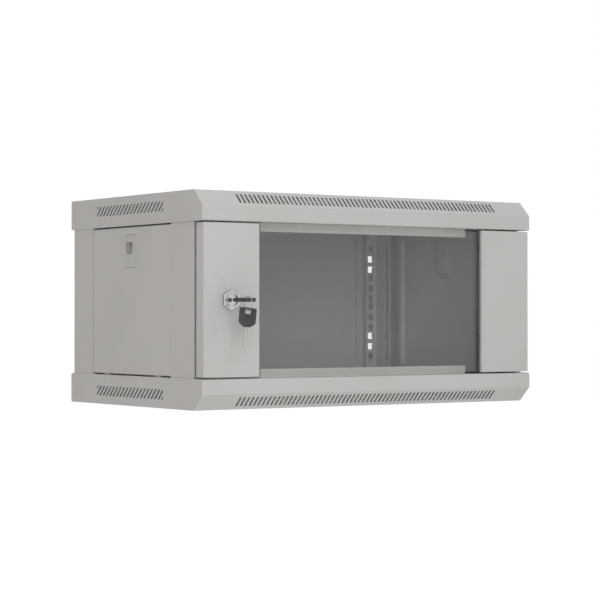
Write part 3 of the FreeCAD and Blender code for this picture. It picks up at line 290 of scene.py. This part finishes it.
finishes = {
    "grey_powder_coat": makePowderCoat("powderCoat", powderCoat),
    "grey_latch_plastic": makePlastic("latchPlastic", latchPlastic),
    "zinc_plate": makePlatedMetal("zincPlate", zincPlate),
    "galvanised_steel": makeGalvanised("galvanisedStrip", galvanised),
    "chrome": makePlatedMetal("chromePlate", chromePlate),
    "key_steel": makePlatedMetal("keySteel", keySteel, (1, 1, 6), 0.02),
    "black_key_plastic": makePlastic("keyPlastic", keyPlastic),
    "tinted_glass": makeGlass("doorGlass", doorGlass),
    "glazing_foam": makePlastic("foamTape", foamTape, 0.5, 0.2),
    "white_nylon": makePlastic("nylon", nylon),
    "spring_steel": makePlatedMetal("springSteel", springSteel),
}
slots = {entry["node"]: entry["material_slot"] for entry in frame["record"]["subparts"]}


def paint(piece, material):
    piece.data.materials.clear()
    piece.data.materials.append(material)


def pickOnly(piece):
    bpy.ops.object.select_all(action="DESELECT")
    piece.select_set(True)
    bpy.context.view_layer.objects.active = piece


for name, piece in nodes.items():
    paint(piece, finishes[slots[name]])
    pickOnly(piece)
    bpy.ops.object.shade_smooth_by_angle(angle=radians(nodeSmooth))
bpy.ops.object.select_all(action="DESELECT")
print("finishes done:", len(finishes))

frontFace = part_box("door_left_stile")[0].y  # front of the door's sheet
lockLow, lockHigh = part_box("lock_body")
lockX = (lockLow.x + lockHigh.x) / 2
lockFace = lockLow.y
ringLow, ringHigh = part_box("key_ring")
ringMiddle = (ringLow + ringHigh) / 2
ringRadius = (ringHigh.z - ringLow.z) / 2
ringWire = 1.2 * mm


def dropPicks(mesh):
    for part in (*mesh.vertices, *mesh.edges, *mesh.polygons):
        part.select = False


def pickEdges(piece, wanted):  # edges are chosen by their two ends
    bpy.ops.object.mode_set(mode="OBJECT")
    mesh = piece.data
    dropPicks(mesh)
    for edge in mesh.edges:
        first, second = (mesh.vertices[i].co for i in edge.vertices)
        edge.select = bool(wanted(first, second))
    bpy.ops.object.mode_set(mode="EDIT")
    bpy.ops.mesh.select_mode(type="EDGE")


def pickFaces(piece, wanted):  # faces are chosen by middle and normal
    bpy.ops.object.mode_set(mode="OBJECT")
    mesh = piece.data
    dropPicks(mesh)
    for face in mesh.polygons:
        face.select = bool(wanted(face.center, face.normal))
    bpy.ops.object.mode_set(mode="EDIT")
    bpy.ops.mesh.select_mode(type="FACE")


def startPiece(name):
    piece = bpy.context.object
    piece.name = name
    bpy.ops.object.transform_apply(location=True, rotation=True, scale=True)
    return piece


def bevelAll(piece, width, segments=2, angle=30.0):
    pickOnly(piece)
    bevel = piece.modifiers.new("softEdges", "BEVEL")
    bevel.width = width
    bevel.segments = segments
    bevel.limit_method = "ANGLE"
    bevel.angle_limit = radians(angle)
    bevel.use_clamp_overlap = True
    bpy.ops.object.modifier_apply(modifier=bevel.name)


def cutWith(piece, cutter):
    pickOnly(piece)
    cut = piece.modifiers.new("cut", "BOOLEAN")
    cut.operation = "DIFFERENCE"
    cut.solver = "EXACT"
    cut.object = cutter
    bpy.ops.object.modifier_apply(modifier=cut.name)
    bpy.data.objects.remove(cutter)


def finish(piece, body, slot, *replaced):
    pickOnly(piece)
    bpy.ops.object.transform_apply(location=True, rotation=True, scale=True)
    bpy.ops.object.shade_smooth_by_angle(angle=radians(pieceSmooth))
    paint(piece, finishes[slot])
    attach(piece, body)
    if replaced:
        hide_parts(*replaced)
    bpy.ops.object.select_all(action="DESELECT")


lockCollar = {"inner": 7.35 * mm, "outer": 9.3 * mm, "rise": 1.9 * mm, "sunk": 0.6 * mm,
              "edge": 0.45 * mm, "steps": 64}


def makeLockCollar(spec):  # round rim of the case, standing a little proud of the hexagon
    bpy.ops.object.select_all(action="DESELECT")
    wide = spec["outer"] - spec["inner"]
    deep = spec["rise"] + spec["sunk"]
    bpy.ops.mesh.primitive_plane_add(size=1, location=(lockX + spec["inner"] + wide / 2,
                                                       lockFace - spec["rise"] + deep / 2, 0))
    rim = bpy.context.object
    rim.scale = (wide, deep, 1)
    rim = startPiece("lockCollar")
    bpy.ops.object.mode_set(mode="EDIT")
    bpy.ops.mesh.select_mode(type="VERT")
    bpy.ops.mesh.select_all(action="DESELECT")
    bpy.ops.object.mode_set(mode="OBJECT")
    for vertex in rim.data.vertices:
        vertex.select = vertex.co.y < lockFace - spec["rise"] + tiny
    bpy.ops.object.mode_set(mode="EDIT")
    bpy.ops.mesh.bevel(offset=spec["edge"], affect="VERTICES", segments=3)
    bpy.ops.mesh.select_all(action="SELECT")
    bpy.ops.mesh.delete(type="ONLY_FACE")
    bpy.ops.mesh.select_all(action="SELECT")
    bpy.ops.mesh.spin(steps=spec["steps"], angle=2 * pi, center=(lockX, 0, 0), axis=(0, 1, 0))
    bpy.ops.mesh.select_all(action="SELECT")
    bpy.ops.mesh.remove_doubles(threshold=tiny)
    bpy.ops.mesh.normals_make_consistent(inside=False)
    bpy.ops.object.mode_set(mode="OBJECT")
    finish(rim, "door", "chrome")


keyBow = {
    "width": 22.6 * mm, "length": 24.0 * mm, "thick": 5.0 * mm,
    "shoulder": 5.0 * mm, "nose": 0.36,  # the blade's end narrows to this share of the width
    "corner": 1.9 * mm,
    "rim": 1.9 * mm, "recess": 1.0 * mm,
    "hole": (10.0 * mm, 5.6 * mm), "holeDown": 5.0 * mm, "holeEdge": 0.6 * mm,
    "soft": 0.35 * mm,
    "fromFace": 18.0 * mm, "lean": 6.0, "play": 0.85 * mm,
}


def makeKeyBow(name, spec):  # upright, blade side at the origin
    bpy.ops.object.select_all(action="DESELECT")
    bpy.ops.mesh.primitive_cube_add(size=1, location=(0, 0, spec["length"] / 2))
    bpy.context.object.scale = (spec["width"], spec["thick"], spec["length"])
    bow = startPiece(name)
    bpy.ops.object.mode_set(mode="EDIT")
    bpy.ops.mesh.select_all(action="SELECT")
    bpy.ops.mesh.bisect(plane_co=(0, 0, spec["shoulder"]), plane_no=(0, 0, 1))
    pickFaces(bow, lambda middle, normal: normal.z < -facing)
    bpy.ops.transform.resize(value=(spec["nose"], 1, 1))
    pickEdges(bow, lambda a, b: abs(a.y - b.y) > spec["thick"] / 2
              and (a.z > spec["length"] - tiny or abs(a.z - spec["shoulder"]) < tiny))
    bpy.ops.mesh.bevel(offset=spec["corner"], segments=4)
    pickFaces(bow, lambda middle, normal: abs(normal.y) > facing)
    bpy.ops.mesh.inset(thickness=spec["rim"], depth=-spec["recess"])
    bpy.ops.object.mode_set(mode="OBJECT")
    wide, tall = spec["hole"]
    bpy.ops.object.select_all(action="DESELECT")
    bpy.ops.mesh.primitive_cube_add(size=1, location=(0, 0, spec["length"] - spec["holeDown"]))
    bpy.context.object.scale = (wide, 4 * spec["thick"], tall)
    cutter = startPiece("bowHole")
    pickEdges(cutter, lambda a, b: abs(a.y - b.y) > spec["thick"])
    bpy.ops.mesh.bevel(offset=spec["holeEdge"], segments=3)
    bpy.ops.object.mode_set(mode="OBJECT")
    cutWith(bow, cutter)
    bevelAll(bow, spec["soft"])
    return bow


def makeKeyBows(spec):
    lying = makeKeyBow("insertedBow", spec)
    lying.rotation_euler = (radians(90), 0, 0)
    lying.location = (lockX, frontFace - spec["fromFace"], 0)
    finish(lying, "lock_plug", "black_key_plastic", "inserted_key_bow")
    hanging = makeKeyBow("hangingBow", spec)
    hanging.matrix_world = hangingPlace(spec)
    finish(hanging, "hung_key", "black_key_plastic", "hung_key_bow")


keyRing = {
    "axial": 0.54 * mm, "radial": 1.05 * mm, "sides": 12,
    "turns": 2, "steps": 96, "pitch": 1.04,  # wire thicknesses from one turn to the next
}


def makeKeyRing(spec):  # two turns of flat wire lying side by side
    bpy.ops.object.select_all(action="DESELECT")
    bpy.ops.mesh.primitive_circle_add(vertices=spec["sides"], radius=0.5,
                                      location=(ringRadius - ringWire / 2, 0, 0),
                                      rotation=(pi / 2, 0, 0))
    bpy.context.object.scale = (spec["radial"], spec["axial"], 1)
    ring = startPiece("splitRing")
    coil = ring.modifiers.new("coil", "SCREW")
    coil.axis = "Z"
    coil.angle = 2 * pi * spec["turns"]
    coil.steps = spec["steps"] * spec["turns"]
    coil.render_steps = coil.steps
    coil.screw_offset = spec["axial"] * spec["pitch"]
    coil.iterations = 1
    pickOnly(ring)
    bpy.ops.object.modifier_apply(modifier=coil.name)
    bpy.ops.object.mode_set(mode="EDIT")
    bpy.ops.mesh.select_all(action="SELECT")
    bpy.ops.mesh.fill_holes(sides=0)
    bpy.ops.mesh.select_all(action="SELECT")
    bpy.ops.mesh.normals_make_consistent(inside=False)
    bpy.ops.object.mode_set(mode="OBJECT")
    zs = [vertex.co.z for vertex in ring.data.vertices]
    ring.rotation_euler = (0, pi / 2, 0)
    ring.location = ringMiddle - Vector(((min(zs) + max(zs)) / 2, 0, 0))
    finish(ring, "key_ring", "key_steel", "key_ring")


def softCopy(name, node, width, segments=2, angle=30.0):  # same shape, sharp edges broken
    pickOnly(nodes[node])
    bpy.ops.object.duplicate()
    piece = bpy.context.object
    piece.name = name
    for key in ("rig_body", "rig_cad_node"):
        if key in piece:
            del piece[key]
    piece.parent = None
    bpy.ops.object.mode_set(mode="EDIT")
    bpy.ops.mesh.select_all(action="SELECT")
    bpy.ops.mesh.remove_doubles(threshold=tiny)
    bpy.ops.mesh.dissolve_limited(angle_limit=radians(1))
    bpy.ops.object.mode_set(mode="OBJECT")
    bevelAll(piece, width, segments, angle)
    return piece


bladeGroove = {
    "width": 1.3 * mm, "deep": 0.45 * mm, "from": -3.0 * mm, "to": -21.0 * mm,
    "aside": 0.9 * mm, "edge": 0.15 * mm, "bladeThick": 1.6 * mm,
}


def hangingPlace(spec):  # where the hanging key's own upright frame lies
    low = ringMiddle.z - ringRadius + ringWire / 2
    drop = (spec["hole"][1] - ringWire) / 2 - spec["play"]
    turn = Matrix.Translation((ringMiddle.x, ringMiddle.y, low))
    turn = turn @ Matrix.Rotation(radians(spec["lean"]), 4, "Y")
    return turn @ Matrix.Translation((0, 0, spec["holeDown"] - drop - spec["length"]))


def makeHangingBlade(spec):  # the blade with its milled groove on the front face too
    blade = softCopy("hangingBlade", "hung_key_blade", spec["edge"])
    bpy.ops.object.select_all(action="DESELECT")
    bpy.ops.mesh.primitive_cube_add(size=1)
    cutter = bpy.context.object
    cutter.scale = (spec["width"], 2 * spec["deep"], spec["from"] - spec["to"])
    cutter.location = (spec["aside"], -spec["bladeThick"] / 2, (spec["from"] + spec["to"]) / 2)
    cutter = startPiece("grooveCutter")
    pickEdges(cutter, lambda a, b: abs(a.z - b.z) > 0.5 * (spec["from"] - spec["to"]))
    bpy.ops.mesh.bevel(offset=spec["edge"], segments=1)
    bpy.ops.object.mode_set(mode="OBJECT")
    cutter.matrix_world = hangingPlace(keyBow)
    cutWith(blade, cutter)
    finish(blade, "hung_key", "key_steel", "hung_key_blade")


softParts = {  # node, body, width of the broken edge in millimetres
    "leftLatchCase": ("left_latch_housing", "left_side_panel", 0.7),
    "rightLatchCase": ("right_latch_housing", "right_side_panel", 0.7),
    "leftLatchSlide": ("left_latch_slide", "left_latch_slide", 0.5),
    "rightLatchSlide": ("right_latch_slide", "right_latch_slide", 0.5),
    "leftStile": ("door_left_stile", "door", 0.45),
    "rightStile": ("door_right_stile", "door", 0.45),
    "leftPanel": ("left_side_panel", "left_side_panel", 0.45),
    "rightPanel": ("right_side_panel", "right_side_panel", 0.45),
    "lockBezel": ("lock_body", "door", 0.35),
}


def makeSoftParts():
    for name, (node, body, width) in softParts.items():
        piece = softCopy(name, node, width * mm)
        finish(piece, body, slots[node], node)


hingeSpring = {"travel": 8.0 * mm, "edge": 0.12 * mm}


def makeHingeSpring(spec):  # a copy of the spring with its edges broken, on its own mesh, riding with the door
    spring = softCopy("hingeSpring", "hinge_pin_spring", spec["edge"], 1)
    finish(spring, "door", "spring_steel", "hinge_pin_spring")
    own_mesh(spring)


makeSoftParts()
print("edges broken:", len(softParts))
makeHingeSpring(hingeSpring)
makeLockCollar(lockCollar)
makeKeyBows(keyBow)
makeHangingBlade(bladeGroove)
makeKeyRing(keyRing)
print("lock and keys done")

camera = {
    "place": (-1.5606, -2.4569, -0.0204),
    "azimuth": 34.338,
    "rise": 0.468,
    "lens": 118.04,
    "sensor": 36.0,
    "near": 0.05,
}
bpy.ops.object.camera_add(location=camera["place"],
                          rotation=(radians(90 + camera["rise"]), 0, radians(-camera["azimuth"])))
eye = bpy.context.object
eye.data.lens = camera["lens"]
eye.data.sensor_width = camera["sensor"]
eye.data.clip_start = camera["near"]
bpy.context.scene.camera = eye
print("camera done")

studio = {
    "skyLevel": 0.64,
    "skySlope": (0.66, 0.55, 0.57),  # how much it brightens towards the right, the back and the top
    "skyMost": 1.2,
    "skyLeft": (1.0, 0.955, 0.925),  # the room is warmer on the lock's side
    "skyRight": (0.99, 1.0, 1.0),
    "lampPlace": (-1.5, -3.2, 0.5),
    "lampSize": 2.0,
    "lampWatts": 52.0,
    "floorHeight": -1.05,
    "floorSize": 30.0,
    "floorRoughness": 0.9,
    "mottleScale": 1.5,
    "floorColour": (208, 208, 207),
    "floorMottle": (211, 211, 210),
    "floorLift": (0.27, 0.45),  # what the lit floor is given near the cabinet and far from it
    "floorReach": (1.2, 3.0),  # where the far value begins, metres from the middle
}


def seenWhite(tree):  # one where the ray comes straight from the eye, off metal or through glass
    path = tree.nodes.new("ShaderNodeLightPath")
    source = path.outputs["Is Camera Ray"]
    for kind in ("Is Glossy Ray", "Is Transmission Ray"):
        larger = tree.nodes.new("ShaderNodeMath")
        larger.operation = "MAXIMUM"
        tree.links.new(source, larger.inputs[0])
        tree.links.new(path.outputs[kind], larger.inputs[1])
        source = larger.outputs["Value"]
    return source


def makeWorld():
    world = bpy.data.worlds.new("studioWorld")
    bpy.context.scene.world = world
    world.use_nodes = True
    tree = world.node_tree
    soft = tree.nodes["Background"]
    coords = tree.nodes.new("ShaderNodeTexCoord")
    slope = tree.nodes.new("ShaderNodeVectorMath")
    slope.operation = "DOT_PRODUCT"
    slope.inputs[1].default_value = studio["skySlope"]
    tree.links.new(coords.outputs["Generated"], slope.inputs[0])
    level = tree.nodes.new("ShaderNodeMath")
    level.operation = "ADD"
    level.inputs[1].default_value = studio["skyLevel"]
    tree.links.new(slope.outputs["Value"], level.inputs[0])
    most = tree.nodes.new("ShaderNodeMath")
    most.operation = "MINIMUM"
    most.inputs[1].default_value = studio["skyMost"]
    tree.links.new(level.outputs["Value"], most.inputs[0])
    tree.links.new(most.outputs["Value"], soft.inputs["Strength"])
    split = tree.nodes.new("ShaderNodeSeparateXYZ")
    tree.links.new(coords.outputs["Generated"], split.inputs["Vector"])
    across = rangeNode(tree, split.outputs["X"], 0.0, 1.0, -1.0, 1.0)
    sky = ramp(tree, across, (*studio["skyLeft"], 1), (*studio["skyRight"], 1), 0.0, 1.0)
    tree.links.new(sky.outputs["Color"], soft.inputs["Color"])
    white = tree.nodes.new("ShaderNodeBackground")
    white.inputs["Color"].default_value = (1, 1, 1, 1)
    mix = tree.nodes.new("ShaderNodeMixShader")
    tree.links.new(seenWhite(tree), mix.inputs["Fac"])
    tree.links.new(soft.outputs["Background"], mix.inputs[1])
    tree.links.new(white.outputs["Background"], mix.inputs[2])
    tree.links.new(mix.outputs["Shader"], tree.nodes["World Output"].inputs["Surface"])


def makeFloor():
    bpy.ops.mesh.primitive_plane_add(size=studio["floorSize"],
                                     location=(0, 0, studio["floorHeight"]))
    floor = bpy.context.object
    floor.name = "studioFloor"
    material, tree, shader, coords = newMaterial("studioFloor")
    mottle = noiseNode(tree, coords, studio["mottleScale"], 2.0)
    tone = ramp(tree, mottle.outputs["Fac"],
                srgb(*studio["floorColour"]), srgb(*studio["floorMottle"]))
    tree.links.new(tone.outputs["Color"], shader.inputs["Base Color"])
    shader.inputs["Roughness"].default_value = studio["floorRoughness"]
    shader.inputs["Emission Color"].default_value = (1, 1, 1, 1)
    away = tree.nodes.new("ShaderNodeVectorMath")
    away.operation = "LENGTH"
    tree.links.new(coords.outputs["Object"], away.inputs[0])
    graded = rangeNode(tree, away.outputs["Value"], *studio["floorLift"], *studio["floorReach"])
    lift = tree.nodes.new("ShaderNodeMath")
    lift.operation = "MULTIPLY"
    tree.links.new(graded, lift.inputs[1])
    tree.links.new(seenWhite(tree), lift.inputs[0])
    tree.links.new(lift.outputs["Value"], shader.inputs["Emission Strength"])
    floor.data.materials.append(material)


def makeLamp():
    bpy.ops.object.light_add(type="AREA", location=studio["lampPlace"])
    lamp = bpy.context.object
    lamp.name = "softBox"
    lamp.data.size = studio["lampSize"]
    lamp.data.energy = studio["lampWatts"]
    lamp.visible_glossy = False
    lamp.rotation_euler = (lamp.location * -1).to_track_quat("-Z", "Y").to_euler()


makeWorld()
makeFloor()
makeLamp()
bpy.context.scene.view_settings.view_transform = "Standard"
print("studio done")
